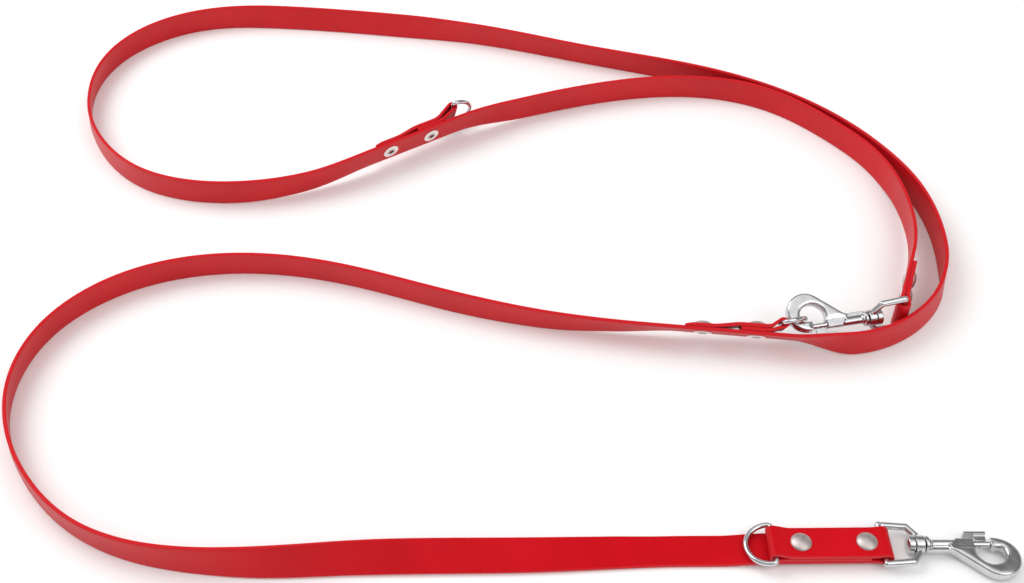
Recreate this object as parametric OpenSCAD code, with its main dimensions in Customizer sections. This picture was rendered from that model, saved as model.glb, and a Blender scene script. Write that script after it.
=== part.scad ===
// Adjustable training leash, laid out on a table.
// One long coated strap with a bolt snap on a rectangular swivel eye at each
// end, and three D-rings: one in the fold of the hook end and two on short
// riveted tabs. The second snap is clipped to the middle D-ring, which closes
// the hand loop. The strap stands on its edge over most of its length and
// lies flat at the hook end.
//
// Frame: origin on the table, under the middle of the strap's flat run next to
// the hook end. +X runs along the hook end to the first snap, +Y to the far
// side, where the hand loop lies, and +Z is up.

/* [Strap] */
// Width of the strap
strap_w = 16; // [15.5:0.1:16.4]
// Thickness of one strap layer
strap_t = 2; // [1.9:0.05:2.05]

/* [Rivets] */
// Diameter of the domed rivet cap
cap_d = 9.8; // [9:0.2:10]
// Height of the domed rivet cap
cap_h = 1.9; // [1.4:0.1:2.2]
// Diameter of the tubular rivet shank
shank_d = 3.2; // [2.8:0.1:3.6]
// Diameter of the flat washer on the clinched side
washer_d = 9.6; // [8.8:0.2:10]
// Thickness of the flat washer
washer_t = 0.6; // [0.4:0.1:0.7]
// Rivet spacing in the hook end
hook_pitch = 29.8; // [29:0.2:30.4]

/* [D-rings] */
// Wire diameter of the D-rings
ring_wire = 2.6; // [2.2:0.1:2.7]
// Clear width between the D-ring's legs
ring_gap = 18; // [17.6:0.1:18.6]
// Distance from the D-ring's bar to the middle of its bow
ring_reach = 12.5; // [12:0.1:13]

/* [Snaps] */
// Width of the swivel eye over its legs
eye_w = 24.4; // [24:0.1:24.8]
// Diameter of the eye's bar that carries the strap
eye_bar_d = 3.4; // [3:0.1:3.5]
// Distance from the eye's bar to the far face of its collar
eye_len = 18.6; // [18.4:0.1:18.8]
// Outer diameter of the barrel
barrel_d = 4.6; // [4.4:0.1:4.8]
// Diameter of the sliding bolt
bolt_d = 2.8; // [2.4:0.1:2.9]
// Thickness of the cast bow
bow_t = 5; // [4.6:0.1:5.4]
// Travel of the bolt
bolt_travel = 7; // [5:0.5:7]

/* [Clearances] */
// Running clearance on the radius of every turning or sliding fit
run_clear = 0.08; // [0.05:0.01:0.1]

/* [Hidden] */
$fn = 48;

// Strap folds
fold_t = 1.6;                       // strap thickness where it is squeezed round a ring
eye_bore_r = eye_bar_d / 2 + run_clear;
eye_loop_r = eye_bore_r + strap_t;
ring_bore_r = ring_wire / 2 + run_clear;
ring_loop_r = ring_bore_r + fold_t;

// Hook end
hook_lift = 1.6;                    // height of its lowest layer over the table
hook_x0 = 22;                       // where the swept strap passes into it
ring1_x = 24.6;                     // bar of the first D-ring
ring1_z = hook_lift + strap_t + ring_loop_r;
hook_rivets_x = [36.8, 36.8 + hook_pitch];
eye1_x = 74.2;                      // bar of the first swivel eye
eye1_z = hook_lift + 1.5 * strap_t;

// Ring tabs; x runs from the first rivet
tab_pitch = 27.5;                   // rivet spacing
tab2_reach = 40;                    // first rivet to ring bar on the middle tab
tab3_reach = 46.5;                  // and on the upper tab, whose fold reaches further
tab2_rise = 2.2;                    // how far the middle tab's ring fold stands off the strap
tab3_rise = 4.2;                    // and the upper tab's
tab_pre = 9.5;                      // tab in front of its first rivet
tab_low = 6.5;                      // where the outer layer starts to climb
tab_back = 9;                       // return layer in front of the second rivet
tab_past = 6;                       // both layers past the second rivet
tab_len = 57;                       // straight strap under a tab
tab_in = 11.5;                      // start of that straight to the first rivet
seat = 0.004;                       // hairline between a tab or washer and the swept strap

// End at the second snap
end_len = 42;                       // straight, up to the eye's bar
end_return = 34;                    // how far the folded-back layer reaches from the bar
end_part = 7;                       // where the layers start to part, from the bar
end_rivets = [12.2, 26.4];          // rivets, from the bar

// Colours
strap_red = [0.80, 0.08, 0.12];
ring_metal = [0.80, 0.80, 0.81];
rivet_metal = [0.78, 0.77, 0.75];
washer_metal = [0.88, 0.87, 0.85];
snap_metal = [0.82, 0.82, 0.84];
spring_metal = [0.6, 0.6, 0.62];

// ---------- route of the strap ----------
// Each station is [x, y, lean, lift]: position of the strap's centreline, lean
// of the strap from standing on its edge (90 is flat, folded-back side up) and
// height of its lowest edge, in millimetres and degrees.
// A straight is [x, y, heading, lean, lift] and is followed for its own length.

// Route 1: from the hook end's fold to the middle ring's tab.
route1 = [
    // flat beside the hook end
    [22, 0, 90, hook_lift], [0, 0, 90, 0], [-24, 0, 90, 0],
    // straight run, rolling up on to its edge
    [-49, -1, 83, 0], [-88, -3, 69, 0], [-131, -4, 56, 0],
    [-171, -6, 37, 0], [-204, -8, 25, 0], [-236, -7, 9, 0],
    // outer left bend
    [-267, -1, 0, 0], [-291, 10, -4, 0], [-324, 43, 0, 0],
    [-341, 81, 8, 0], [-334, 135, 8, 0], [-299, 170, 6, 0],
    // back to the right
    [-243, 184, 5, 0], [-183, 175, 5, 0], [-130, 156, 4, 0],
    [-75, 140, 12, 0], [-38, 134, 26, 1.5]];
// Straight under the middle ring's tab.
tab2_at = [-5, 130, -7, 38, 4];
// Route 2: right bend, along the far side of the hand loop and round its left end.
route2 = [
    // right bend
    [85, 120.8, 0, 0.6], [138, 160, -6, 0], [145, 187, 4, 0],
    [142, 239, 3, 0], [124, 279, -2, 0], [91, 317, -2, 0],
    // far side of the hand loop
    [38, 350, -5, 0], [-40, 377, -10, 0], [-112, 401, -4, 0],
    [-166, 412, 10, 0], [-240, 422, 10, 0], [-294, 420, 0, 0],
    // left end of the hand loop
    [-328, 402, -3, 0], [-346, 378, -7, 0], [-353, 337, -10, 0],
    [-341, 296, 0, 0], [-307, 257, 1, 0], [-255, 243, 2, 0.3],
    [-210, 251, 12, 1.2]];
// Straight under the upper ring's tab.
tab3_at = [-172.5, 270, 32, 20, 4.2];
// Route 3: near side of the hand loop to the second snap.
route3 = [
    [-81, 321, 4, 0.8], [-21, 339, 3, 0], [32, 341, 0, 0],
    [66, 330, -5, 0], [101, 299, -4, 0], [125, 262, -8, 0],
    [131, 232, -3, 2]];
// Straight that ends at the second snap's eye.
end2_at = [124.8, 177.6, -111, 0, 4.4];

// ---------- spline through the stations ----------
section_step = 7;                   // longest chord between swept sections

function heading_vector(heading) = [cos(heading), sin(heading)];
function xy(station) = [station[0], station[1]];
function sum_to(values, n) = n < 0 ? 0 : values[n] + sum_to(values, n - 1);

// chord length from the first station to each one
function knots(route) =
    let (chords = [for (i = [1 : len(route) - 1]) norm(xy(route[i]) - xy(route[i - 1]))])
    [for (i = [0 : len(route) - 1]) sum_to(chords, i - 1)];

// Plan slopes of the smooth cubic with given end slopes. The tridiagonal system is
// swept forwards into rows [c, r], where slope = r - c * next slope, then back.
function next_row(route, along, i, row) =
    let (before = along[i] - along[i - 1],
         after = along[i + 1] - along[i],
         pivot = 2 * (before + after) - after * row[0],
         target = 3 * (before / after * (xy(route[i + 1]) - xy(route[i]))
                       + after / before * (xy(route[i]) - xy(route[i - 1]))))
    [before / pivot, (target - after * row[1]) / pivot];
function rows_from(route, along, i, row) =
    i == len(route) - 2 ? [row]
    : concat([row], rows_from(route, along, i + 1, next_row(route, along, i + 1, row)));
function slopes_to(rows, i, next_slope) =
    i < 0 ? []
    : let (slope = rows[i][1] - rows[i][0] * next_slope)
      concat(slopes_to(rows, i - 1, slope), [slope]);
function plan_slopes(route, along, start, end) =
    let (rows = rows_from(route, along, 0, [0, start]))
    concat(slopes_to(rows, len(rows) - 1, end), [end]);

// slope of lean or lift (column) at a station, held level where it turns
function side_slope(route, along, column, i) =
    i == 0 || i == len(route) - 1 ? 0
    : let (before = (route[i][column] - route[i - 1][column]) / (along[i] - along[i - 1]),
           after = (route[i + 1][column] - route[i][column]) / (along[i + 1] - along[i]))
      before * after <= 0 ? 0 : 2 * before * after / (before + after);

// cubic from p0 to p1 with slopes m0 and m1 over a span, and its derivative; s is 0 to 1
function hermite(p0, p1, m0, m1, span, s) =
    (1 + 2 * s) * (1 - s) * (1 - s) * p0 + s * (1 - s) * (1 - s) * span * m0
    + s * s * (3 - 2 * s) * p1 + s * s * (s - 1) * span * m1;
function hermite_slope(p0, p1, m0, m1, span, s) =
    (6 * s * s - 6 * s) * (p0 - p1) / span
    + (3 * s * s - 4 * s + 1) * m0 + (3 * s * s - 2 * s) * m1;
function side_value(route, along, column, i, s) =
    hermite(route[i][column], route[i + 1][column],
            side_slope(route, along, column, i), side_slope(route, along, column, i + 1),
            along[i + 1] - along[i], s);

// strap sections along a route, short of its end: [point, heading vector, lean, lift]
function route_sections(route, heading0, heading1) =
    let (along = knots(route),
         m = plan_slopes(route, along, heading_vector(heading0), heading_vector(heading1)))
    [for (i = [0 : len(route) - 2])
        let (span = along[i + 1] - along[i],
             n = ceil(span / section_step),
             p0 = xy(route[i]),
             p1 = xy(route[i + 1]))
        for (j = [0 : n - 1])
            let (s = j / n, ahead = hermite_slope(p0, p1, m[i], m[i + 1], span, s))
            [hermite(p0, p1, m[i], m[i + 1], span, s), ahead / norm(ahead),
             side_value(route, along, 2, i, s), side_value(route, along, 3, i, s)]];

// station on a straight, a distance from its start
function straight_station(straight, distance) =
    [straight[0] + distance * cos(straight[2]), straight[1] + distance * sin(straight[2]),
     straight[3], straight[4]];
// sections of a route up to and including the start of the straight that follows
function sections_to(route, heading, straight) =
    concat(route_sections(concat(route, [straight_station(straight, 0)]), heading, straight[2]),
           [[xy(straight), heading_vector(straight[2]), straight[3], straight[4]]]);

sections = concat(
    sections_to(route1, 180, tab2_at),
    sections_to(concat([straight_station(tab2_at, tab_len)], route2), tab2_at[2], tab3_at),
    sections_to(concat([straight_station(tab3_at, tab_len)], route3), tab3_at[2], end2_at));

// height of the strap's centreline: its lowest edge sits at the lift
function mid_z(lean, lift) = lift + abs(cos(lean)) * strap_w / 2 + abs(sin(lean)) * strap_t / 2;
// unit vector from the lower to the upper edge
function across(ahead, lean) = [sin(lean) * ahead[1], -sin(lean) * ahead[0], cos(lean)];
// unit vector off the folded-back face
function outward(ahead, lean) = [-cos(lean) * ahead[1], cos(lean) * ahead[0], sin(lean)];
// four corners of a section
function corners(section) =
    let (centre = [section[0][0], section[0][1], mid_z(section[2], section[3])],
         half_w = across(section[1], section[2]) * strap_w / 2,
         half_t = outward(section[1], section[2]) * strap_t / 2)
    [centre - half_w - half_t, centre - half_w + half_t,
     centre + half_w + half_t, centre + half_w - half_t];
// point on a straight, x ahead of its start and y off its middle plane
function straight_point(straight, x, y) =
    let (ahead = heading_vector(straight[2]))
    [straight[0], straight[1], mid_z(straight[3], straight[4])]
    + x * [ahead[0], ahead[1], 0] + y * outward(ahead, straight[3]);

// faces of a capped sweep of polygonal sections
function sweep_faces(count, sides) = concat(
    [[for (k = [0 : sides - 1]) k]],
    [for (i = [0 : count - 2]) for (k = [0 : sides - 1])
        let (a = sides * i + k, b = sides * i + (k + 1) % sides)
        each [[a, a + sides, b], [b, a + sides, b + sides]]],
    [[for (k = [sides - 1 : -1 : 0]) sides * (count - 1) + k]]);

// ---------- shared shapes ----------
// places a shape made in a straight's own frame: x ahead, y off the face, z across the strap
module on_straight(straight) {
    ahead = heading_vector(straight[2]);
    z_axis = across(ahead, straight[3]);
    y_axis = outward(ahead, straight[3]);
    origin = straight_point(straight, 0, 0);
    multmatrix([[ahead[0], y_axis[0], z_axis[0], origin[0]],
                [ahead[1], y_axis[1], z_axis[1], origin[1]],
                [0, y_axis[2], z_axis[2], origin[2]],
                [0, 0, 0, 1]]) children();
}

// rods that start at x or y and run towards + on that axis
module rod_x(x, r, h) translate([x, 0, 0]) rotate([0, 90, 0]) cylinder(r = r, h = h);
module rod_y(y, r, h) translate([0, y, 0]) rotate([-90, 0, 0]) cylinder(r = r, h = h);
// block centred on z = 0
module block(x, y, size) translate([x, y, -size[2] / 2]) cube(size);
// strap width of a profile seen from the upper edge
module strap_extrude() translate([0, 0, -strap_w / 2]) linear_extrude(strap_w) children();

// arc of round wire
module wire_arc(bend_r, wire_r, angle)
    rotate_extrude(angle = angle) translate([bend_r, 0]) circle(r = wire_r);

// D-ring with its bar on the local z axis and its bow towards +x
module d_ring() {
    wire_r = ring_wire / 2;
    leg_z = ring_gap / 2 + wire_r;
    corner_r = 1.9;
    leg_len = max(ring_reach - leg_z - corner_r, 0.02);
    union() {
        cylinder(r = wire_r, h = 2 * (leg_z - corner_r), center = true);
        for (m = [0, 1]) mirror([0, 0, m]) {
            translate([corner_r, 0, leg_z - corner_r])
                rotate([90, 0, 0]) rotate([0, 0, 90]) wire_arc(corner_r, wire_r, 90);
            translate([0, 0, leg_z]) rod_x(corner_r, wire_r, leg_len);
        }
        translate([ring_reach - leg_z, 0, 0])
            rotate([90, 0, 0]) rotate([0, 0, -90]) wire_arc(leg_z, wire_r, 180);
    }
}

// Tubular rivet along +y: domed cap on the face at y = top, shank down to y = bottom, and the
// clinched rim standing on the washer there
module rivet(top, bottom) {
    r = shank_d / 2;
    wall = 0.55;
    bore_h = 3.6;                   // length of the bore's cutter, which starts 1 below the rim
    rim_h = 0.3;
    rim_z = bottom - washer_t - rim_h;
    dome_r = (cap_d * cap_d / 4 + cap_h * cap_h) / (2 * cap_h);
    rotate([-90, 0, 0]) difference() {
        union() {
            translate([0, 0, top]) intersection() {
                translate([0, 0, cap_h - dome_r]) sphere(r = dome_r, $fn = 64);
                cylinder(r = cap_d / 2, h = cap_h + 1, $fn = 64);
            }
            translate([0, 0, bottom - washer_t])
                cylinder(r = r, h = top - bottom + washer_t + 0.2);
            translate([0, 0, rim_z]) cylinder(r1 = r + 0.35, r2 = r + 0.7, h = rim_h);
        }
        translate([0, 0, rim_z - 1]) cylinder(r = r - wall, h = bore_h);
    }
}
module washer(bottom) difference() {
    rod_y(bottom - washer_t, washer_d / 2, washer_t);
    rod_y(bottom - washer_t - 1, shank_d / 2, washer_t + 2);
}
module rivet_hole(low, high) rod_y(low, shank_d / 2, high - low);

// where a line from a point touches a circle
function touch(centre, r, from, side) =
    let (offset = from - centre,
         angle = atan2(offset[1], offset[0]) + side * acos(r / norm(offset)))
    centre + r * [cos(angle), sin(angle)];
// Strap fold seen from its edge: two faces at y = low and y = high that run ahead to a
// round loop, starting to part from a distance back
module loop_2d(centre, r, back, low, high) {
    start_low = [centre[0] - back, low];
    start_high = [centre[0] - back, high];
    polygon([start_low, touch(centre, r, start_low, 1), centre,
             touch(centre, r, start_high, -1), start_high]);
    translate(centre) circle(r = r);
}
// bore of such a loop, running out to a point between the two layers
module loop_bore_2d(centre, r, back, mid) {
    start = [centre[0] - back, mid];
    polygon([start, touch(centre, r, start, 1), centre, touch(centre, r, start, -1)]);
    translate(centre) circle(r = r);
}

// ---------- rivet places ----------
// each gives a frame with +y off the face that carries the caps
module at_hook1_rivets() translate([0, 0, hook_lift]) rotate([90, 0, 0])
    for (x = hook_rivets_x) translate([x, 0, 0]) children();
module at_tab_rivets(straight) on_straight(straight)
    for (x = [0, tab_pitch]) translate([tab_in + x, 0, 0]) children();
module at_end2_rivets() on_straight(end2_at)
    for (x = end_rivets) translate([end_len - x, 0, 0]) children();

// ---------- strap ----------
module strap_sweep() polyhedron(
    points = [for (section = sections) each corners(section)],
    faces = sweep_faces(len(sections), 4));

// hook end, seen from its near edge: lowest layer, eye fold, top layer, ring fold and tucked tail
module hook_end_2d() {
    z0 = hook_lift;
    stack_x0 = ring1_x + 4.4;       // where the three layers lie together
    ring_part = 7;                  // where the layers part for the ring, from its bar
    eye_part = 2.4;                 // and for the eye
    tail_gap = 6.4;                 // from the end of the tucked tail to the eye's bar
    difference() {
        union() {
            translate([hook_x0, z0]) square([eye1_x - hook_x0, strap_t]);
            translate([stack_x0, z0]) square([eye1_x - stack_x0, 3 * strap_t]);
            loop_2d([eye1_x, eye1_z], eye_loop_r, eye_part, z0, z0 + 3 * strap_t);
            translate([2 * ring1_x, 0]) mirror([1, 0])
                loop_2d([ring1_x, ring1_z], ring_loop_r, ring_part,
                        z0 + strap_t, z0 + 3 * strap_t);
        }
        translate([eye1_x, eye1_z]) circle(r = eye_bore_r);
        translate([ring1_x, ring1_z]) circle(r = ring_bore_r);
        translate([eye1_x - tail_gap, z0 + strap_t]) square([tail_gap, strap_t]);
    }
}
// end at the second snap, seen from its upper edge
module end2_2d() {
    bar = [end_len, strap_t / 2];
    difference() {
        union() {
            translate([0, -strap_t / 2]) square([end_len - end_part, strap_t]);
            translate([end_len - end_return, strap_t / 2])
                square([end_return - end_part, strap_t]);
            loop_2d(bar, eye_loop_r, end_part, -strap_t / 2, 1.5 * strap_t);
        }
        loop_bore_2d(bar, eye_bore_r, end_part - 1, strap_t / 2);
    }
}
module main_strap() color(strap_red) difference() {
    union() {
        strap_sweep();
        rotate([90, 0, 0]) strap_extrude() hook_end_2d();
        on_straight(end2_at) strap_extrude() end2_2d();
    }
    for (x = hook_rivets_x) translate([x, 0, -1]) cylinder(r = shank_d / 2, h = 12);
    for (straight = [tab2_at, tab3_at]) at_tab_rivets(straight) rivet_hole(-3, 3);
    at_end2_rivets() rivet_hole(-3, 6);
}

// ring tab, seen from its upper edge; it lies on the strap's folded-back face
function tab_bar(reach, rise) = [reach, strap_t / 2 + ring_loop_r + rise];
module tab_2d(reach, rise) {
    bar = tab_bar(reach, rise);
    y0 = strap_t / 2 + seat;
    y1 = y0 + strap_t;
    y2 = y0 + 2 * strap_t;
    return_x0 = tab_pitch - tab_back;
    flat_x1 = tab_pitch + tab_past;
    difference() {
        union() {
            // outer layer: on the strap at the first rivet, over the return layer at the second
            polygon([[-tab_pre, y0], [tab_low, y0], [return_x0, y1], [flat_x1, y1],
                     [flat_x1, y2], [return_x0, y2], [tab_low, y1], [-tab_pre, y1]]);
            // return layer
            translate([return_x0, y0]) square([tab_back + tab_past, strap_t]);
            loop_2d(bar, ring_loop_r, reach - flat_x1 + 0.1, y0, y2);
        }
        loop_bore_2d(bar, ring_bore_r, reach - flat_x1, y1);
    }
}
module ring_tab(straight, reach, rise)
    on_straight(straight) translate([tab_in, 0, 0]) difference() {
        strap_extrude() tab_2d(reach, rise);
        for (x = [0, tab_pitch]) translate([x, 0, 0]) rivet_hole(0, 8);
    }
module ring2_tab() color(strap_red) ring_tab(tab2_at, tab2_reach, tab2_rise);
module ring3_tab() color(strap_red) ring_tab(tab3_at, tab3_reach, tab3_rise);

// ---------- D-rings ----------
ring1_rest = 9;                     // ring 1 droops on to the strap beside the fold
ring2_rest = 18;                    // ring 2 leans off the strap
ring3_rest = -8;                    // ring 3 leans towards the strap

module tab_d_ring(straight, reach, rise, rest)
    on_straight(straight) translate([tab_in, 0, 0]) translate(tab_bar(reach, rise))
        rotate([0, 0, rest]) d_ring();
module d_ring_1() color(ring_metal) translate([ring1_x, 0, ring1_z])
    rotate([0, 0, 180]) rotate([0, ring1_rest, 0]) rotate([90, 0, 0]) d_ring();
module d_ring_2() color(ring_metal) tab_d_ring(tab2_at, tab2_reach, tab2_rise, ring2_rest);
module d_ring_3() color(ring_metal) tab_d_ring(tab3_at, tab3_reach, tab3_rise, ring3_rest);

// ---------- rivets and washers ----------
tab_washer_y = -strap_t / 2 - seat;

// the first rivet goes through one tab layer, the second through two
module tab_rivets(straight) on_straight(straight) for (i = [0, 1])
    translate([tab_in + i * tab_pitch, 0, 0])
        rivet(strap_t / 2 + (i + 1) * strap_t + seat, tab_washer_y);
module hook1_rivets() color(rivet_metal) at_hook1_rivets() rivet(3 * strap_t, 0);
module hook1_washers() color(washer_metal) at_hook1_rivets() washer(0);
module ring2_rivets() color(rivet_metal) tab_rivets(tab2_at);
module ring2_washers() color(washer_metal) at_tab_rivets(tab2_at) washer(tab_washer_y);
module ring3_rivets() color(rivet_metal) tab_rivets(tab3_at);
module ring3_washers() color(washer_metal) at_tab_rivets(tab3_at) washer(tab_washer_y);
module hook2_rivets() color(rivet_metal) at_end2_rivets() rivet(1.5 * strap_t, -strap_t / 2);
module hook2_washers() color(washer_metal) at_end2_rivets() washer(-strap_t / 2);

// ---------- bolt snap ----------
// Own frame: x along the swivel axis from the eye's bar to the bow, y towards the thumb stud.
collar_w = 4.2;                     // length of the eye's collar
collar_x = eye_len - collar_w;      // its near face
post_r = 1.9;                       // swivel post
post_x0 = collar_x - 1;
head_x = collar_x - 3.1;            // where the post's peened head turns into its dome
flange_x = eye_len + 0.4;
barrel_x0 = flange_x + 1;           // rear of the barrel, inside the flange
barrel_x1 = 41;                     // open end of the barrel
chamber_x = 22.6;                   // closed end of the barrel's bore
bolt_x0 = 32.4;                     // rear end of the bolt at rest
bolt_x1 = 50;                       // front end of the bolt at rest
bolt_bore_r = bolt_d / 2 + run_clear;
bolt_chamfer = 0.4;
tip_x = 48.8;                       // face of the bow's tip
stud_x = 43.4;                      // thumb stud's stem
stem_r = 0.75;

module snap_eye() {
    leg_r = 1.75;
    knuckle_r = leg_r + 0.04;
    bar_y = eye_w / 2 - knuckle_r;
    // [x, y] of a leg's ends and of the bend between
    joints = [[0, bar_y], [12.4, bar_y - 1], [collar_x + 1.9, 4.2]];
    difference() {
        union() {
            rotate([90, 0, 0]) cylinder(r = eye_bar_d / 2, h = 2 * bar_y, center = true);
            for (m = [0, 1]) mirror([0, m, 0]) for (i = [0, 1]) {
                leg = joints[i + 1] - joints[i];
                translate(joints[i]) rotate([90, 0, 0]) sphere(r = knuckle_r);
                translate(joints[i]) rotate([0, 0, atan2(leg[1], leg[0])])
                    rod_x(0, leg_r, norm(leg));
            }
            // collar round the swivel post
            rod_x(collar_x, 4.25, collar_w);
        }
        rod_x(collar_x - 4, post_r + run_clear, 12);
        // clears the peened head
        rod_x(collar_x - 6, 4.5, 6.03);
    }
}

// [x, y] round the arm from the barrel to the bow
bow_arm = [[30.4, -2.6], [31.4, -4.4], [43.6, -15], [51, -8],
           [48, 2], [41, -0.6], [41, 1.8], [33, 1.8]];
// [x, y, radius] of the circles that make the bow's opening
bow_opening = [[47.6, -6.1, 5.8], [49, -5.9, 5.6], [46.4, -5.2, 5.6]];

// outline of the bow in the snap's plane
module bow_2d() difference() {
    union() {
        translate([50.6, -7.8]) circle(r = 10, $fn = 96);
        polygon(bow_arm);
        // tip that takes the bolt
        translate([tip_x, -2.6]) square([3, 4.9]);
        // rib along the barrel
        translate([barrel_x0, -4.2]) square([13, 3]);
    }
    // opening, kept clear of the tip
    difference() {
        union() for (c = bow_opening) translate([c[0], c[1]]) circle(r = c[2]);
        translate([tip_x, -2.5]) square([12, 12]);
    }
    // gate that the bolt spans
    translate([barrel_x1, -1.9]) square([tip_x - barrel_x1, 8]);
}
module snap_body() difference() {
    union() {
        // swivel post and its peened head
        rod_x(post_x0, post_r, barrel_x0 - post_x0);
        rod_x(head_x - 0.1, 4.2, 3.1);
        translate([head_x, 0, 0]) intersection() {
            translate([8.6, 0, 0]) sphere(r = 9.5);
            block(-4, -6, [4.1, 12, 12]);
        }
        // flange, shoulder and barrel
        rod_x(flange_x, 4, 1.7);
        rod_x(barrel_x0, barrel_d / 2 + 0.5, 1.9);
        rod_x(barrel_x0, barrel_d / 2, barrel_x1 - barrel_x0);
        // bow at its full thickness, with its thinner rib along the barrel
        intersection() {
            translate([0, 0, -bow_t / 2]) linear_extrude(bow_t) bow_2d();
            union() {
                block(0, -5, [36, 8, 2.4]);
                block(30, -30, [40, 40, 6]);
            }
        }
    }
    // bore of the bolt and spring
    rod_x(chamber_x, bolt_bore_r, barrel_x1 - chamber_x + 5);
    // socket in the bow's tip
    rod_x(tip_x - 3, bolt_bore_r, bolt_x1 - tip_x + 3.2);
    // slot that the thumb stud slides in
    block(stud_x - bolt_travel - 1.6, 0, [20, 4, 2]);
}
module snap_bolt() difference() {
    union() {
        rod_x(bolt_x0, bolt_d / 2, bolt_x1 - bolt_x0 - bolt_chamfer);
        translate([bolt_x1 - bolt_chamfer, 0, 0]) rotate([0, 90, 0])
            cylinder(r1 = bolt_d / 2, r2 = bolt_d / 2 - bolt_chamfer, h = bolt_chamfer);
    }
    translate([stud_x, 0, 0]) rod_y(-5, stem_r, 10);
}
// stem, neck and thumb plate
module snap_thumb_stud() union() {
    translate([stud_x, 0, 0]) rod_y(-1.1, stem_r, 4);
    block(stud_x - 1.3, 1.45, [5.4, 3.4, 1.6]);
    block(stud_x - 5.9, 4.5, [10.2, 1.4, 3.8]);
}
// compression spring between the closed end of the bore and the bolt
module snap_spring() {
    coils = 7;
    steps_per_coil = 12;
    coil_r = 1.05;
    wire_r = 0.22;
    sides = 6;
    end_gap = 0.3;
    x0 = chamber_x + end_gap;
    x1 = bolt_x0 - end_gap;
    n = coils * steps_per_coil;
    points = [for (i = [0 : n])
        let (turn = 360 * i / steps_per_coil, x = x0 + (x1 - x0) * i / n)
        for (k = [0 : sides - 1])
            let (angle = 360 * k / sides, r = coil_r + wire_r * cos(angle))
            [x + wire_r * sin(angle), r * cos(turn), r * sin(turn)]];
    polyhedron(points = points, faces = sweep_faces(n + 1, sides));
}

// ---------- places of the snaps ----------
// the first lies along the hook end, the second is clipped to the middle ring
snap1_side = 0.4;                   // first snap sits a little to the far side of its fold
snap1_dip = 1;                      // and droops slightly to the table
snap2_heading = 191.3;
snap2_dip = -0.3;
snap2_roll = -27;                   // roll of the second snap's body
eye2_roll = 90;                     // and of its eye

module at_snap1() translate([eye1_x, snap1_side, eye1_z]) rotate([0, snap1_dip, 0]) children();
module at_snap2(roll = snap2_roll) translate(straight_point(end2_at, end_len, strap_t / 2))
    rotate([0, 0, snap2_heading]) rotate([0, snap2_dip, 0]) rotate([roll, 0, 0]) children();

module snap1_eye() color(snap_metal) at_snap1() snap_eye();
module snap1_body() color(snap_metal) at_snap1() snap_body();
module snap1_bolt() color(snap_metal) at_snap1() snap_bolt();
module snap1_thumb_stud() color(snap_metal) at_snap1() snap_thumb_stud();
module snap1_spring() color(spring_metal) at_snap1() snap_spring();
module snap2_eye() color(snap_metal) at_snap2(eye2_roll) snap_eye();
module snap2_body() color(snap_metal) at_snap2() snap_body();
module snap2_bolt() color(snap_metal) at_snap2() snap_bolt();
module snap2_thumb_stud() color(snap_metal) at_snap2() snap_thumb_stud();
module snap2_spring() color(spring_metal) at_snap2() snap_spring();

main_strap();
ring2_tab();
ring3_tab();
d_ring_1();
d_ring_2();
d_ring_3();
hook1_rivets();
hook1_washers();
ring2_rivets();
ring2_washers();
ring3_rivets();
ring3_washers();
hook2_rivets();
hook2_washers();
snap1_eye();
snap1_body();
snap1_bolt();
snap1_thumb_stud();
snap1_spring();
snap2_eye();
snap2_body();
snap2_bolt();
snap2_thumb_stud();
snap2_spring();
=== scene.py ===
# Training leash: red coated strap, two trigger snaps, three D-rings, tubular rivets.
# It winds over the floor z = 0, mostly standing on its narrow edge. The first end lies flat along X,
# with its snap towards +X; the camera stands on the -Y side and looks towards +Y and down.
# Lengths are millimetres in the CAD model's frame, and become metres when a mesh is made.
# Floor, lights and camera are in metres.
import bpy, bmesh, math
from typing import NamedTuple
import numpy as np
from mathutils import Matrix, Vector


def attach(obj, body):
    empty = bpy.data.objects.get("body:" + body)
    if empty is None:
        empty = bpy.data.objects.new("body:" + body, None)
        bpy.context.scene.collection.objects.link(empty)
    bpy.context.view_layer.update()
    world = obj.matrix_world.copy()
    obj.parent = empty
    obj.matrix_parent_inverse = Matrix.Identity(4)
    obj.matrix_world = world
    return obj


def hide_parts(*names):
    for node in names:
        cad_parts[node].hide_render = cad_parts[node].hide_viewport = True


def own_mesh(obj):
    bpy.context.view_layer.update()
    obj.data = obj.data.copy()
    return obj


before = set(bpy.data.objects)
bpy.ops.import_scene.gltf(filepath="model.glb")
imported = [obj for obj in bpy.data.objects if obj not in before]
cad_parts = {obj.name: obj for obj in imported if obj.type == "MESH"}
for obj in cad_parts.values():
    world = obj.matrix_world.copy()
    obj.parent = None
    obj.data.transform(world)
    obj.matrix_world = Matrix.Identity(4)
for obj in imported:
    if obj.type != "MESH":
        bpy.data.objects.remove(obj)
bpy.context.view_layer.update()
MM = 0.001
X, Y, Z = np.eye(3)

# ------------------------------------------------------------------ strap dimensions
WIDTH, THICK = 16.0, 2.0
CORNER = 0.62             # corner radius of the cross-section, as a share of half its thickness
FACE_SINK = 0.05          # how far the long faces sink along their middle
CUT_EASE = ((0.0, 0.5), (0.08, 0.2), (0.3, 0.0))    # at a cut end: distance in, loss of section
RUN_STEP, FOLD_STEP = 3.0, 0.55                     # section spacing on long runs and in folds
# fold radii, a little over the CAD folds, because easing tightens them
EYE_FOLD_R, RING_FOLD_R = 2.88, 2.28
RING_THICK = 1.6          # the strap is squeezed where it folds round a ring

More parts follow.
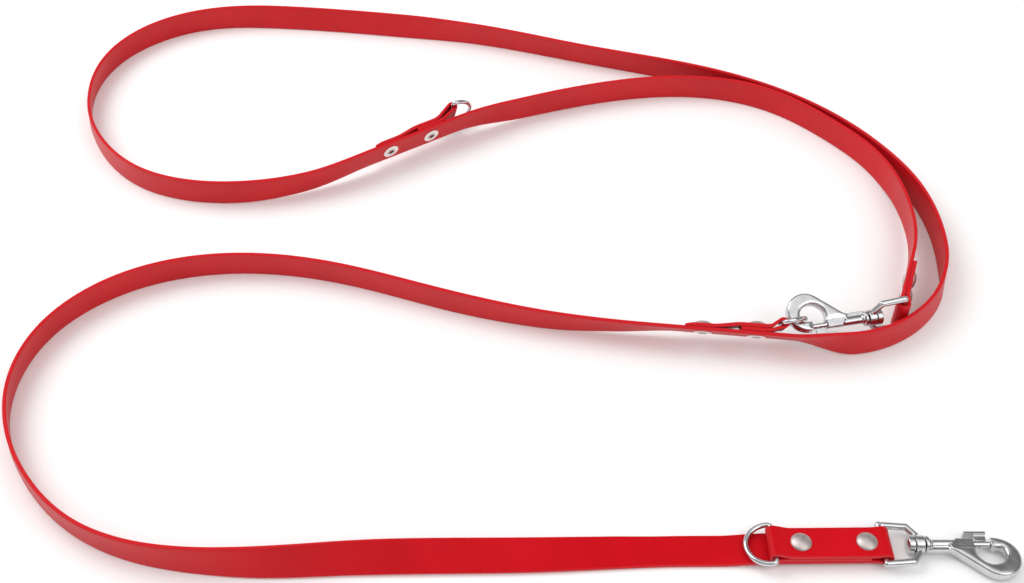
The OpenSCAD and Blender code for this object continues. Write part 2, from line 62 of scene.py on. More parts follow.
HOOK_LIFT = 1.6           # underside of the first end's lowest layer
HOOK_RING = (24.6, 4.98)  # fold centres at the first end: x, height above that underside
HOOK_EYE = (74.2, 1.5 * THICK)
HOOK_RIVETS_X = (36.8, 66.6)
TAB_RUN = 57.0            # straight stretch of strap under a tab
TAB_IN = 11.5             # from the start of that stretch to the tab's first rivet
TAB_PITCH = 27.5          # between a tab's two rivets
END_LENGTH = 42.0         # from the start of the second end to its eye bar
END_RIVETS = (12.2, 26.4)  # back from that eye bar


# ------------------------------------------------------------------ strap sections
class Section(NamedTuple):
    """Centre of the strap, three unit directions, and its thickness."""
    centre: np.ndarray
    along: np.ndarray
    off_face: np.ndarray
    across: np.ndarray
    thick: float


def direction(heading):
    return np.array([math.cos(math.radians(heading)), math.sin(math.radians(heading))])


def section_at(x, y, dx, dy, lean, lift):
    """Strap over (x, y), running along (dx, dy). Lean 0 is on edge, 90 is flat."""
    cos, sin = math.cos(math.radians(lean)), math.sin(math.radians(lean))
    z = lift + abs(cos) * WIDTH / 2 + abs(sin) * THICK / 2
    return Section(centre=np.array([x, y, z]), along=np.array([dx, dy, 0]),
                   off_face=np.array([-cos * dy, cos * dx, sin]),
                   across=np.array([sin * dy, -sin * dx, cos]), thick=THICK)


class Straight(NamedTuple):
    """Start, heading, lean and lift of a straight stretch of strap."""
    x: float
    y: float
    heading: float
    lean: float
    lift: float

    def station(self, distance=0):
        dx, dy = direction(self.heading)
        return (self.x + distance * dx, self.y + distance * dy, self.lean, self.lift)

    def section(self):
        return section_at(self.x, self.y, *direction(self.heading), self.lean, self.lift)


# stations of the strap's route: x, y, lean in degrees, lift of the lower edge
ROUTE_TO_MIDDLE_TAB = [
    (22, 0, 90, HOOK_LIFT), (0, 0, 90, 0), (-24, 0, 90, 0), (-49, -1, 83, 0), (-88, -3, 69, 0),
    (-131, -4, 56, 0), (-171, -6, 37, 0), (-204, -8, 25, 0), (-236, -7, 9, 0), (-267, -1, 0, 0),
    (-291, 10, -4, 0), (-324, 43, 0, 0), (-341, 81, 8, 0), (-334, 135, 8, 0), (-299, 170, 6, 0),
    (-243, 184, 5, 0), (-183, 175, 5, 0), (-130, 156, 4, 0), (-75, 140, 12, 0), (-38, 134, 26, 1.5)]
MIDDLE_TAB = Straight(x=-5, y=130, heading=-7, lean=38, lift=4)
ROUTE_TO_UPPER_TAB = [
    (85, 120.8, 0, 0.6), (138, 160, -6, 0), (145, 187, 4, 0), (142, 239, 3, 0), (124, 279, -2, 0),
    (91, 317, -2, 0), (38, 350, -5, 0), (-40, 377, -10, 0), (-112, 401, -4, 0), (-166, 412, 10, 0),
    (-240, 422, 10, 0), (-294, 420, 0, 0), (-328, 402, -3, 0), (-346, 378, -7, 0),
    (-353, 337, -10, 0), (-341, 296, 0, 0), (-307, 257, 1, 0), (-255, 243, 2, 0.3),
    (-210, 251, 12, 1.2)]
UPPER_TAB = Straight(x=-172.5, y=270, heading=32, lean=20, lift=4.2)
ROUTE_TO_SECOND_END = [
    (-81, 321, 4, 0.8), (-21, 339, 3, 0), (32, 341, 0, 0), (66, 330, -5, 0), (101, 299, -4, 0),
    (125, 262, -8, 0), (131, 232, -3, 2)]
SECOND_END = Straight(x=124.8, y=177.6, heading=-111, lean=0, lift=4.4)


def distance_along(points):
    steps = np.linalg.norm(np.diff(points[:, :2], axis=0), axis=1)
    return np.concatenate([[0], np.cumsum(steps)])


def smooth_run(stations, heading_in, heading_out):
    """Sections of the smooth cubic through the stations, without the last one."""
    stations = np.array(stations, float)
    place, tilt = stations[:, :2], stations[:, 2:]
    count = len(stations)
    gaps = np.diff(distance_along(stations))
    # tangents that keep the curvature continuous
    system = np.zeros((count, count))
    wanted = np.zeros((count, 2))
    system[0, 0] = system[-1, -1] = 1
    wanted[0], wanted[-1] = direction(heading_in), direction(heading_out)
    # slopes of lean and lift that never overshoot a station
    slope = np.zeros((count, 2))
    for i in range(1, count - 1):
        before, after = gaps[i - 1], gaps[i]
        system[i, i - 1:i + 2] = after, 2 * (before + after), before
        wanted[i] = 3 * (before / after * (place[i + 1] - place[i])
                         + after / before * (place[i] - place[i - 1]))
        for k in (0, 1):
            back = (tilt[i, k] - tilt[i - 1, k]) / before
            ahead = (tilt[i + 1, k] - tilt[i, k]) / after
            if back * ahead > 0:
                slope[i, k] = 2 * back * ahead / (back + ahead)
    tangent = np.linalg.solve(system, wanted)

    sections = []
    for i, gap in enumerate(gaps):
        pieces = max(2, math.ceil(gap / RUN_STEP))
        for j in range(pieces):
            s = j / pieces
            weights = ((1 + 2 * s) * (1 - s) ** 2, s * (1 - s) ** 2 * gap,
                       s * s * (3 - 2 * s), s * s * (s - 1) * gap)

            def blend(values, slopes):
                ends = (values[i], slopes[i], values[i + 1], slopes[i + 1])
                return sum(weight * end for weight, end in zip(weights, ends))

            course = ((6 * s * s - 6 * s) * (place[i] - place[i + 1]) / gap
                      + (3 * s * s - 4 * s + 1) * tangent[i]
                      + (3 * s * s - 2 * s) * tangent[i + 1])
            course = course / np.linalg.norm(course)
            sections.append(section_at(*blend(place, tangent), *course, *blend(tilt, slope)))
    return sections


def straight_run(straight):
    start = straight.section()
    return [start._replace(centre=start.centre + start.along * distance)
            for distance in np.arange(0, TAB_RUN, RUN_STEP)]


def fold(centre, radius, start, end, count, thick=THICK):
    """Path points (x, y, thickness) round an arc, with its angles in degrees."""
    return [(centre[0] + radius * math.cos(math.radians(a)),
             centre[1] + radius * math.sin(math.radians(a)), thick)
            for a in np.linspace(start, end, count)]


def eased(path):
    """Even points along a path of (x, y, thickness), with its corners eased."""
    path = np.array(path, float)
    dist = distance_along(path)
    count = max(8, int(dist[-1] / FOLD_STEP))
    even = np.linspace(0, dist[-1], count + 1)
    points = np.stack([np.interp(even, dist, column) for column in path.T], 1)
    for _ in range(3):
        points[1:-1] = (points[:-2] + 2 * points[1:-1] + points[2:]) / 4
    return points


def folded(path, origin, x_axis, y_axis, across):
    """Strap sections along a path of (x, y, thickness) in the plane of two axes."""
    points = eased(path)
    sections = []
    for i, (x, y, thick) in enumerate(points):
        course = points[min(i + 1, len(points) - 1), :2] - points[max(i - 1, 0), :2]
        course = course / np.linalg.norm(course)
        along = course[0] * x_axis + course[1] * y_axis
        sections.append(Section(centre=origin + x * x_axis + y * y_axis, along=along,
                                off_face=np.cross(across, along), across=across, thick=thick))
    return sections


def hook_end_sections():
    """First end: tail in the middle, ring fold, top layer, eye fold, bottom layer."""
    # x, height above the lowest layer's underside, thickness
    path = [(67.8, 3, THICK), (33.5, 3, THICK), (31.0, 3, THICK), (28.4, 2.9, 1.8),
            *fold(HOOK_RING, RING_FOLD_R, -80, -280, 26, RING_THICK),
            (28.6, 6.1, 1.8), (31.4, 5.1, THICK), (34, 5, THICK), (69.4, 5, THICK),
            (71.6, 5.2, THICK),
            *fold(HOOK_EYE, EYE_FOLD_R, 98, -98, 30),
            (71.6, 0.8, THICK), (69.4, 1, THICK), (40, 1, THICK), (24, 1, THICK)]
    return folded(path, HOOK_LIFT * Z, X, Z, Y)


def second_end_sections():
    """Second end: out to the eye bar, round it, and back on the face."""
    # distance along, offset off the face, thickness
    path = [(0, 0, THICK), (34.4, 0, THICK), (37.2, -0.5, THICK),
            *fold((END_LENGTH, THICK / 2), EYE_FOLD_R, -104, 104, 32),
            (37.2, 2.6, THICK), (34.4, 2.05, THICK), (31, 2.0, THICK), (8, 2.0, THICK)]
    start = SECOND_END.section()
    return folded(path, start.centre, start.along, start.off_face, start.across)


def tab_sections(straight, reach, rise):
    """Tab on the strap's face: outer layer, fold round a ring, and back underneath."""
    stretch = (reach - 33.5) / 6.5      # how far the layers are drawn out towards the ring
    # distance from the first rivet, offset off the strap's centre, thickness
    path = [(-9.5, 1.5, 1.0), (-5.4, 1.98, 1.95), (5.6, 2, THICK), (8.2, 2.3, THICK),
            (16.8, 3.75, THICK), (19.6, 4, THICK), (32.2, 4, THICK),
            (34.0 + 0.6 * stretch, 4.35 + 0.2 * (rise - 1.8), 1.8),
            *fold((reach, 3.98 + rise), RING_FOLD_R, 112, -112, 26, RING_THICK),
            (33.6 + 1.6 * stretch, 2.45, 1.8), (32.6, 2, THICK), (19.0, 2, THICK)]
    start = straight.section()
    return folded(path, start.centre + TAB_IN * start.along, start.along, start.off_face,
                  start.across)


def strap_sections():
    middle, upper, end = MIDDLE_TAB, UPPER_TAB, SECOND_END
    return (hook_end_sections()
            + smooth_run(ROUTE_TO_MIDDLE_TAB + [middle.station()], 180, middle.heading)
            + straight_run(middle)
            + smooth_run([middle.station(TAB_RUN)] + ROUTE_TO_UPPER_TAB + [upper.station()],
                         middle.heading, upper.heading)
            + straight_run(upper)
            + smooth_run([upper.station(TAB_RUN)] + ROUTE_TO_SECOND_END + [end.station()],
                         upper.heading, end.heading)
            + second_end_sections())


# ------------------------------------------------------------------ mesh helpers
def new_object(name, verts, faces, smooth=True):
    mesh = bpy.data.meshes.new(name)
    mesh.from_pydata([tuple(float(a) for a in v) for v in verts], [],
                     [tuple(int(i) for i in f) for f in faces])
    mesh.update()
    obj = bpy.data.objects.new(name, mesh)
    bpy.context.scene.collection.objects.link(obj)
    if smooth:
        shade_smooth(mesh)
    return obj


def shade_smooth(mesh):
    mesh.polygons.foreach_set("use_smooth", [True] * len(mesh.polygons))


def point_attribute(mesh, name, values):
    mesh.attributes.new(name, "FLOAT", "POINT").data.foreach_set("value", values)


def face_outwards(mesh):
    bm = bmesh.new()
    bm.from_mesh(mesh)
    bmesh.ops.recalc_face_normals(bm, faces=bm.faces)
    bm.to_mesh(mesh)
    bm.free()


def strap_outline(thick, width):
    """Rounded cross-section: points (off the face, across)."""
    radius = CORNER * thick / 2
    half_thick, half_width = thick / 2, width / 2
    points = []

    def corner(side, edge, start):
        for a in np.linspace(start, start - 90, 5):
            points.append((side * (half_thick - radius) + radius * math.cos(math.radians(a)),
                           edge * (half_width - radius) + radius * math.sin(math.radians(a))))

    for side, start in ((1, 90), (-1, 270)):
        corner(side, side, start)
        flat = side * (half_width - radius)
        for z in np.linspace(flat, -flat, 9)[1:-1]:
            sink = FACE_SINK * math.cos(math.pi * z / (2 * half_width)) ** 2
            points.append((side * (half_thick - sink), z))
        corner(side, -side, start - 90)
    return points


def ribbon(name, sections):
    """A strap of rounded section swept along its sections, with eased cut ends."""
    start, end = sections[0], sections[-1]
    # rows: section, its loss of thickness and width
    rows = [(start._replace(centre=start.centre + start.along * inset), loss)
            for inset, loss in CUT_EASE]
    rows += [(section, 0.0) for section in sections[1:-1]]
    rows += [(end._replace(centre=end.centre - end.along * inset), loss)
             for inset, loss in reversed(CUT_EASE)]
    verts = [(s.centre + s.off_face * y + s.across * z) * MM
             for s, loss in rows for y, z in strap_outline(s.thick - loss, WIDTH - loss)]
    outline = strap_outline(THICK, WIDTH)
    count = len(outline)
    faces = []
    for i in range(len(rows) - 1):
        for k in range(count):
            a, b = i * count + k, i * count + (k + 1) % count
            faces.append((a, a + count, b + count, b))
    faces.append(range(count))
    faces.append(reversed(range((len(rows) - 1) * count, len(rows) * count)))
    obj = new_object(name, verts, faces)
    mesh = obj.data

    # UVs are strap widths: u along the length, v across
    centres = [s.centre for s, _ in rows]
    steps = [float(np.linalg.norm(b - a)) for a, b in zip(centres, centres[1:])]
    lengths = np.concatenate([[0], np.cumsum(steps)])
    uv = mesh.uv_layers.new(name="along")
    for loop in mesh.loops:
        row, k = divmod(loop.vertex_index, count)
        uv.data[loop.index].uv = (lengths[row] / WIDTH, 0.5 + outline[k][1] / WIDTH)
    # 1 on the narrow edges, 0 on the faces
    edge_start = WIDTH / 2 - CORNER * THICK / 2
    on_edge = [1.0 if abs(z) > edge_start else 0.0 for _, z in outline]
    point_attribute(mesh, "edge", on_edge * len(rows))
    face_outwards(mesh)
    return obj


def lathe(name, solids, segments=64):
    """Revolved solids (profile, origin, axis) in one mesh.

    A profile holds (radius, height) points; a third value marks the bore.
    A profile that starts off the axis is closed into a ring.
    """
    verts, faces, bore = [], [], []
    for profile, origin, axis in solids:
        axis = axis / np.linalg.norm(axis)
        side = np.cross(axis, X if abs(axis[0]) < 0.8 else Y)
        side /= np.linalg.norm(side)
        other_side = np.cross(axis, side)
        rings = []
        for radius, height, *in_bore in profile:
            size = 1 if radius < 1e-6 else segments
            rings.append(range(len(verts), len(verts) + size))
            bore += [1.0 if in_bore else 0.0] * size
            for k in range(size):
                a = 2 * math.pi * k / segments
                out = radius * (math.cos(a) * side + math.sin(a) * other_side)
                verts.append((origin + axis * height + out) * MM)
        pairs = list(zip(rings, rings[1:]))
        if len(rings[0]) > 1:
            pairs.append((rings[-1], rings[0]))
        for a, b in pairs:
            for k in range(segments):
                after = (k + 1) % segments
                if len(a) == 1:
                    faces.append((a[0], b[k], b[after]))
                elif len(b) == 1:
                    faces.append((a[k], b[0], a[after]))
                else:
                    faces.append((a[k], b[k], b[after], a[after]))
    obj = new_object(name, verts, faces)
    point_attribute(obj.data, "bore", bore)
    face_outwards(obj.data)
    return obj


def copy_of(node_name, name):
    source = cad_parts[node_name]
    obj = bpy.data.objects.new(name, source.data.copy())
    bpy.context.scene.collection.objects.link(obj)
    obj.matrix_world = source.matrix_world.copy()
    return obj


def apply_modifiers(obj):
    depsgraph = bpy.context.evaluated_depsgraph_get()
    mesh = bpy.data.meshes.new_from_object(obj.evaluated_get(depsgraph))
    obj.modifiers.clear()
    obj.data = mesh


def add_smooth(obj, rounds, group=""):
    smooth = obj.modifiers.new("smooth", "SMOOTH")
    smooth.factor = 0.5
    smooth.iterations = rounds
    smooth.vertex_group = group


def add_offset(obj, distance, group=""):
    offset = obj.modifiers.new("offset", "DISPLACE")
    offset.strength = distance * MM
    offset.mid_level = 0.0
    offset.vertex_group = group


def bow_weight(p):
    """1 on a snap's bow and arm, 0 on its barrel, in the snap's own frame."""
    def ramp(value, low, high):
        f = min(1.0, max(0.0, (value - low) / (high - low)))
        return f * f * (3 - 2 * f)
    return max(ramp(-p.y, 2.2, 4.6) * ramp(p.x, 29.0, 32.0), ramp(p.x, 49.2, 51.5))


def cast(node_name, name, voxel, rounds, bow_frame=None):
    """A CAD node with its sharp meets rounded off.

    With the snap's frame given, the section of its bow is made round too.
    """
    obj = copy_of(node_name, name)
    obj.data.materials.clear()
    bm = bmesh.new()
    bm.from_mesh(obj.data)
    bmesh.ops.remove_doubles(bm, verts=bm.verts, dist=1e-6)
    bm.to_mesh(obj.data)
    bm.free()
    remesh = obj.modifiers.new("remesh", "REMESH")
    remesh.mode = "VOXEL"
    remesh.voxel_size = voxel * MM
    remesh.use_smooth_shade = True
    if bow_frame is not None:
        apply_modifiers(obj)
        to_snap = bow_frame.inverted()
        group = obj.vertex_groups.new(name="bow")
        for vert in obj.data.vertices:
            weight = bow_weight(to_snap @ (vert.co / MM))
            if weight > 0.001:
                group.add([vert.index], weight, "REPLACE")
        # heavy smoothing thins the bow, so it is filled out again
        add_smooth(obj, 150, "bow")
        add_offset(obj, 0.33, "bow")
    add_smooth(obj, rounds)
    # a voxel mesh closes the running gaps a little, so they are opened again
    add_offset(obj, -0.05)
    apply_modifiers(obj)
    shade_smooth(obj.data)
    return obj


# ------------------------------------------------------------------ materials
def material(name):
    mat = bpy.data.materials.new(name)
    mat.use_nodes = True
    return mat, mat.node_tree, mat.node_tree.nodes["Principled BSDF"]


def node(tree, kind, **settings):
    """A new node; each setting is an input's value or a property."""
    new = tree.nodes.new(kind)
    for key, value in settings.items():
        if key in new.inputs:
            new.inputs[key].default_value = value
        else:
            setattr(new, key, value)
    return new


def color_ramp(tree, factor, first, last, between=()):
    """Colour ramp driven by a socket; stops are (position, rgb)."""
    ramp = node(tree, "ShaderNodeValToRGB")
    elements = ramp.color_ramp.elements
    for element, (position, rgb) in zip(elements, (first, last)):
        element.position = position
        element.color = (*rgb, 1)
    for position, rgb in between:
        elements.new(position).color = (*rgb, 1)
    tree.links.new(factor, ramp.inputs["Fac"])
    return ramp.outputs["Color"]


def map_range(tree, value, low, high):
    """A 0 to 1 socket spread over low to high."""
    spread = node(tree, "ShaderNodeMapRange")
    spread.inputs["To Min"].default_value = low
    spread.inputs["To Max"].default_value = high
    tree.links.new(value, spread.inputs["Value"])
    return spread.outputs["Result"]


def bump(tree, height, strength, distance, normal=None):
    relief = node(tree, "ShaderNodeBump", Strength=strength, Distance=distance)
    tree.links.new(height, relief.inputs["Height"])
    if normal is not None:
        tree.links.new(normal, relief.inputs["Normal"])
    return relief.outputs["Normal"]


def mix_by_attribute(tree, attribute, base, color):
    """The base socket, turning into a colour where the mesh attribute is 1."""
    mask = node(tree, "ShaderNodeAttribute", attribute_name=attribute)
    mix = node(tree, "ShaderNodeMix", data_type="RGBA")
    tree.links.new(mask.outputs["Fac"], mix.inputs["Factor"])
    tree.links.new(base, mix.inputs["A"])
    mix.inputs["B"].default_value = color
    return mix.outputs["Result"]


def strap_material():
    mat, tree, shader = material("coated_strap_red")
    link = tree.links.new
    position = node(tree, "ShaderNodeTexCoord").outputs["Object"]
    # slow drift of the red, and narrow edges a lighter red: their own edge paint with a painted
    # sheen
    drift = node(tree, "ShaderNodeTexNoise", Scale=28.0, Detail=3.0, Roughness=0.55)
    link(position, drift.inputs["Vector"])
    red = color_ramp(tree, drift.outputs["Fac"], first=(0.3, (0.50, 0.0014, 0.0062)),
                     last=(0.75, (0.59, 0.0030, 0.0095)))
    red = mix_by_attribute(tree, "edge", red, color=(0.58, 0.010, 0.016, 1))
    link(red, shader.inputs["Base Color"])
    # fine coated grain in two sizes, and slow ripples along the length
    uv = node(tree, "ShaderNodeUVMap", uv_map="along")
    grain = node(tree, "ShaderNodeTexVoronoi", Scale=2300.0, feature="SMOOTH_F1")
    link(position, grain.inputs["Vector"])
    fine = node(tree, "ShaderNodeTexNoise", Scale=1500.0, Detail=4.0, Roughness=0.6)
    link(position, fine.inputs["Vector"])
    stretch = node(tree, "ShaderNodeMapping", Scale=(1.2, 14.0, 1.0))
    link(uv.outputs["UV"], stretch.inputs["Vector"])
    ripples = node(tree, "ShaderNodeTexNoise", Scale=2.2, Detail=3.0)
    link(stretch.outputs["Vector"], ripples.inputs["Vector"])
    normal = bump(tree, grain.outputs["Distance"], strength=0.22, distance=0.00012)
    normal = bump(tree, fine.outputs["Fac"], strength=0.25, distance=0.0001, normal=normal)
    normal = bump(tree, ripples.outputs["Fac"], strength=0.22, distance=0.0004, normal=normal)
    link(normal, shader.inputs["Normal"])
    link(map_range(tree, ripples.outputs["Fac"], low=0.36, high=0.50), shader.inputs["Roughness"])
    # painted reflection: upward faces are made less shiny than upright ones, so upright faces carry
    # more of the white floor
    geometry = node(tree, "ShaderNodeNewGeometry")
    upward = node(tree, "ShaderNodeSeparateXYZ")
    link(geometry.outputs["Normal"], upward.inputs["Vector"])
    link(map_range(tree, upward.outputs["Z"], low=0.40, high=0.07),
         shader.inputs["Specular IOR Level"])
    shader.inputs["Coat Roughness"].default_value = 0.30
    return mat


def metal_material(name, dark, light, rough, scratch, scale=260.0, metallic=1.0):
    """Mottled metal: two colours, mean roughness, bump strength, mottling scale."""
    mat, tree, shader = material(name)
    link = tree.links.new
    position = node(tree, "ShaderNodeTexCoord").outputs["Object"]
    mottle = node(tree, "ShaderNodeTexNoise", Scale=scale, Detail=5.0, Roughness=0.6)
    link(position, mottle.inputs["Vector"])
    color = color_ramp(tree, mottle.outputs["Fac"], first=(0.3, dark), last=(0.72, light))
    link(map_range(tree, mottle.outputs["Fac"], low=rough * 0.7, high=rough * 1.45),
         shader.inputs["Roughness"])
    scratches = node(tree, "ShaderNodeTexNoise", Scale=scale * 5.5, Detail=3.0)
    link(position, scratches.inputs["Vector"])
    link(bump(tree, scratches.outputs["Fac"], strength=scratch, distance=0.00008),
         shader.inputs["Normal"])
    shader.inputs["Metallic"].default_value = metallic
    # the hollow of a rivet's shank is painted near black: painted shade in the hole
    color = mix_by_attribute(tree, "bore", color, color=(0.012, 0.010, 0.010, 1))
    link(color, shader.inputs["Base Color"])
    return mat


STRAP = strap_material()
CHROME = metal_material("polished_nickel", dark=(0.60, 0.60, 0.61), light=(0.74, 0.74, 0.75),
                        rough=0.12, scratch=0.05)
CAST = metal_material("plated_casting", dark=(0.56, 0.56, 0.57), light=(0.70, 0.70, 0.71),
                      rough=0.17, scratch=0.08, scale=180.0)
RIVET = metal_material("satin_nickel_cap", dark=(0.58, 0.50, 0.48), light=(0.72, 0.64, 0.61),
                       rough=0.42, scratch=0.18, scale=420.0)
# washers: pale metal, with their bright reflection painted in as a near-white, half-metal colour
WASHER = metal_material("washer_painted_pale", dark=(0.88, 0.86, 0.84), light=(0.97, 0.96, 0.94),
                        rough=0.38, scratch=0.12, scale=420.0, metallic=0.35)
SPRING = metal_material("spring_wire_steel", dark=(0.45, 0.45, 0.47), light=(0.62, 0.62, 0.64),
                        rough=0.28, scratch=0.08)


def piece(obj, mat, body, node_name):
    """Gives an object its material, the body it rides and the CAD node it replaces."""
    obj.data.materials.clear()
    obj.data.materials.append(mat)
    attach(obj, body)
    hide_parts(node_name)


# ------------------------------------------------------------------ strap and tabs
piece(ribbon("strap_ribbon", strap_sections()), STRAP, "strap", "main_strap")
piece(ribbon("tab_middle", tab_sections(MIDDLE_TAB, reach=40.0, rise=2.2)),
      STRAP, "strap", "ring2_tab")
piece(ribbon("tab_upper", tab_sections(UPPER_TAB, reach=46.5, rise=4.2)),
      STRAP, "strap", "ring3_tab")

# ------------------------------------------------------------------ rivets and washers
CAP_HEIGHT, SHANK_R = 1.9, 1.6
# radius, height above the seat: domed cap with a slightly flattened crown, then its rolled rim
CAP_PROFILE = [
    (0.0, CAP_HEIGHT),
    *((r, CAP_HEIGHT - 1.42 * (r / 4.75) ** 2.35) for r in (0.8, 1.6, 2.4, 3.1, 3.7, 4.15, 4.5)),
    (4.72, 0.36), (4.86, 0.2), (4.9, 0.09), (4.86, 0.02), (4.6, 0.0), (SHANK_R, 0.0)]
# radius, height above the strap's far face
WASHER_PROFILE = [
    (1.66, -0.05), (1.9, 0.0), (4.3, 0.0), (4.62, -0.05), (4.78, -0.2), (4.8, -0.34),
    (4.7, -0.5), (4.4, -0.58), (3.6, -0.6), (2.4, -0.6), (1.9, -0.56), (1.66, -0.45)]


def rivet_profile(grip):
    """Cap and hollow shank, clinched beyond the strap layers that it grips."""
    # radius, height above the strap's far face, mark of the bore
    clinch = [(SHANK_R, -0.55), (2.05, -0.62), (2.28, -0.78), (2.2, -0.93), (1.8, -0.98),
              (1.5, -0.86), (1.2, -0.6, 1), (1.15, 2.4, 1), (0.0, 2.4)]
    return CAP_PROFILE + [(radius, height - grip, *mark) for radius, height, *mark in clinch]


def fasteners(name, node_prefix, places):
    """places: (point on the strap's far face, axis towards the cap, strap layers)."""
    rivets = [(rivet_profile(layers * THICK), point + axis * layers * THICK, axis)
              for point, axis, layers in places]
    washers = [(WASHER_PROFILE, point, axis) for point, axis, _ in places]
    piece(lathe(f"{name}_rivets", rivets), RIVET, "strap", f"{node_prefix}_rivets")
    piece(lathe(f"{name}_washers", washers), WASHER, "strap", f"{node_prefix}_washers")


def face_places(straight, distances_and_layers):
    """Fastener places at distances along a straight stretch."""
    start = straight.section()
    far_face = start.centre - start.off_face * THICK / 2
    return [(far_face + start.along * distance, start.off_face, layers)
            for distance, layers in distances_and_layers]


fasteners("hook_patch", "hook1", [(np.array([x, 0, HOOK_LIFT]), Z, 3) for x in HOOK_RIVETS_X])
for name, node_prefix, straight in (("tab_middle", "ring2", MIDDLE_TAB),
                                    ("tab_upper", "ring3", UPPER_TAB)):
    fasteners(name, node_prefix, face_places(straight, ((TAB_IN, 2), (TAB_IN + TAB_PITCH, 3))))
fasteners("second_end", "hook2",
          face_places(SECOND_END, [(END_LENGTH - back, 2) for back in END_RIVETS]))

# ------------------------------------------------------------------ rings and snaps
# CAD node, object name, voxel, smoothing rounds, material, body it rides; all after "snap<k>_"
SNAP_PARTS = (
    ("eye", "eye_cast", 0.18, 22, CAST, "swivel_eye"),
    ("body", "body_cast", 0.24, 10, CAST, "hook"),
    ("bolt", "bolt_turned", 0.12, 3, CHROME, "slider"),
    ("thumb_stud", "thumb_stud_cast", 0.12, 6, CAST, "slider"))


def snap_frame(at, heading, dip, roll):
    """A snap's own frame: turned by three angles in degrees, then moved."""
    return (Matrix.Translation(Vector([float(a) for a in at]))
            @ Matrix.Rotation(math.radians(heading), 4, "Z")
            @ Matrix.Rotation(math.radians(dip), 4, "Y")
            @ Matrix.Rotation(math.radians(roll), 4, "X"))


def snap(k, placed):
    prefix = f"snap{k}_"
    for part, name, voxel, rounds, mat, body in SNAP_PARTS:
        bow_frame = placed if part == "body" else None
        obj = cast(prefix + part, prefix + name, voxel, rounds, bow_frame)
        piece(obj, mat, prefix + body, prefix + part)
    # the coil rides the hook with a mesh of its own; in the real snap it shortens as the bolt slides
    # back on it
    coil = copy_of(prefix + "spring", prefix + "coil")
    shade_smooth(coil.data)
    piece(coil, SPRING, prefix + "hook", prefix + "spring")
    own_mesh(coil)


for k in (1, 2, 3):
    piece(cast(f"d_ring_{k}", f"ring_{k}_wire", voxel=0.16, rounds=6),
          CHROME, f"ring_{k}", f"d_ring_{k}")
end = SECOND_END.section()
snap(1, snap_frame((HOOK_EYE[0], 0.4, HOOK_LIFT + HOOK_EYE[1]), heading=0, dip=1, roll=0))
snap(2, snap_frame(end.centre + end.along * END_LENGTH + end.off_face * THICK / 2,
                   heading=191.3, dip=-0.3, roll=-27))


# ------------------------------------------------------------------ floor, light and camera
def make_floor():
    floor = new_object("floor", [(-4, -4, 0), (4, -4, 0), (4, 4, 0), (-4, 4, 0)],
                       [(0, 1, 2, 3)], smooth=False)
    mat, tree, shader = material("pale_floor")
    patches = node(tree, "ShaderNodeTexNoise", Scale=3.0, Detail=2.0)
    tree.links.new(map_range(tree, patches.outputs["Fac"], low=0.55, high=0.7),
                   shader.inputs["Roughness"])
    shader.inputs["Base Color"].default_value = (0.93, 0.93, 0.93, 1)
    shader.inputs["Specular IOR Level"].default_value = 0.2
    floor.data.materials.append(mat)


# bands of light and dark in reflections: height from horizon (0) to zenith (1), grey
SKY_BANDS = ((0.05, 0.30), (0.10, 0.85), (0.24, 0.95), (0.31, 0.07), (0.43, 0.06),
             (0.50, 0.60), (0.60, 0.20), (0.80, 0.22), (0.87, 0.85))


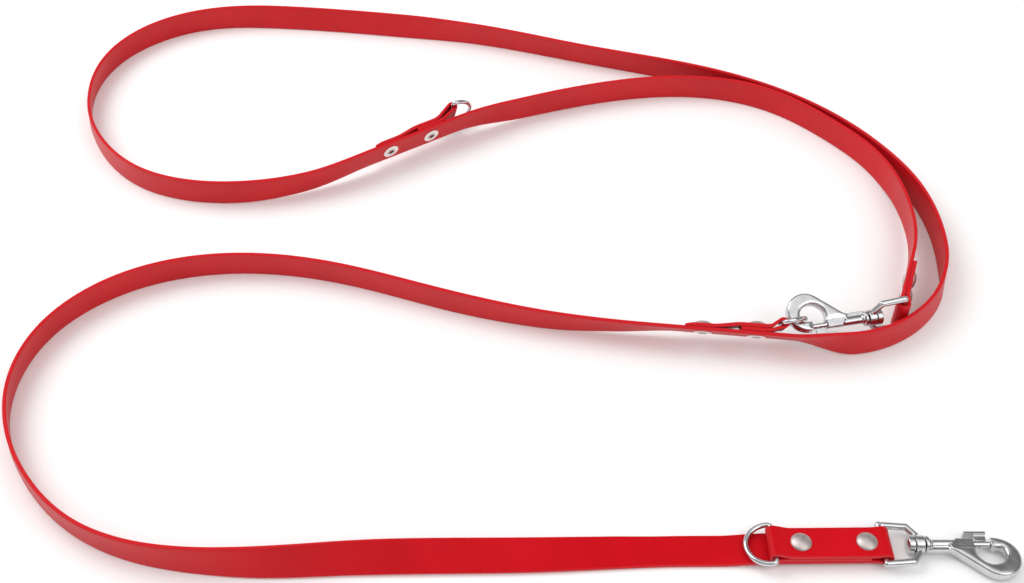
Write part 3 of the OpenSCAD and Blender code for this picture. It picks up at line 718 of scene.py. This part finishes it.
def make_world():
    """Even white light, with a banded sky that only reflections see."""
    world = bpy.data.worlds.new("studio")
    bpy.context.scene.world = world
    world.use_nodes = True
    tree = world.node_tree
    tree.nodes.clear()
    link = tree.links.new
    output = node(tree, "ShaderNodeOutputWorld")
    soft = node(tree, "ShaderNodeBackground", Color=(1, 1, 1, 1), Strength=0.82)
    banded = node(tree, "ShaderNodeBackground", Strength=1.0)
    view = node(tree, "ShaderNodeTexCoord")
    height = node(tree, "ShaderNodeSeparateXYZ")
    link(view.outputs["Generated"], height.inputs["Vector"])
    bands = [(position, (grey, grey, grey * 1.01)) for position, grey in SKY_BANDS]
    sky = color_ramp(tree, height.outputs["Z"], first=(0.0, (0.10, 0.10, 0.11)),
                     last=(1.0, (1.25, 1.25, 1.25)), between=bands)
    link(sky, banded.inputs["Color"])
    rays = node(tree, "ShaderNodeLightPath")
    mix = node(tree, "ShaderNodeMixShader")
    link(rays.outputs["Is Glossy Ray"], mix.inputs[0])
    link(soft.outputs[0], mix.inputs[1])
    link(banded.outputs[0], mix.inputs[2])
    link(mix.outputs[0], output.inputs["Surface"])


def area_light(name, at, size, energy, target=(-0.1, 0.15, 0)):
    light = bpy.data.lights.new(name, "AREA")
    light.shape = "DISK"
    light.size = size
    light.energy = energy
    obj = bpy.data.objects.new(name, light)
    bpy.context.scene.collection.objects.link(obj)
    obj.location = at
    obj.rotation_euler = (Vector(target) - Vector(at)).to_track_quat("-Z", "Y").to_euler()


CAMERA_AT = (-0.0973, -0.3465, 0.5157)
CAMERA_PITCH = 45.03                      # degrees below level
CAMERA_COS, CAMERA_SIN = 0.99994, 0.0109  # of its slight turn from +Y towards +X


def make_camera():
    pitch = math.radians(CAMERA_PITCH)
    right = Vector((CAMERA_COS, -CAMERA_SIN, 0)).normalized()
    forward = Vector((math.cos(pitch) * CAMERA_SIN, math.cos(pitch) * CAMERA_COS,
                      -math.sin(pitch))).normalized()
    up = right.cross(forward).normalized()
    lens = bpy.data.cameras.new("camera")
    lens.lens, lens.sensor_width, lens.sensor_fit = 47.22, 36.0, "HORIZONTAL"
    lens.clip_start, lens.clip_end = 0.01, 20
    camera = bpy.data.objects.new("camera", lens)
    bpy.context.scene.collection.objects.link(camera)
    pose = Matrix((right, up, -forward)).transposed().to_4x4()
    pose.translation = Vector(CAMERA_AT)
    camera.matrix_world = pose
    bpy.context.scene.camera = camera


make_floor()
make_world()
area_light("key", at=(-1.15, 0.75, 1.35), size=1.3, energy=14)
area_light("fill", at=(0.9, -0.7, 1.3), size=1.2, energy=5)
make_camera()
bpy.context.scene.view_settings.view_transform = "Standard"

bpy.context.view_layer.update()
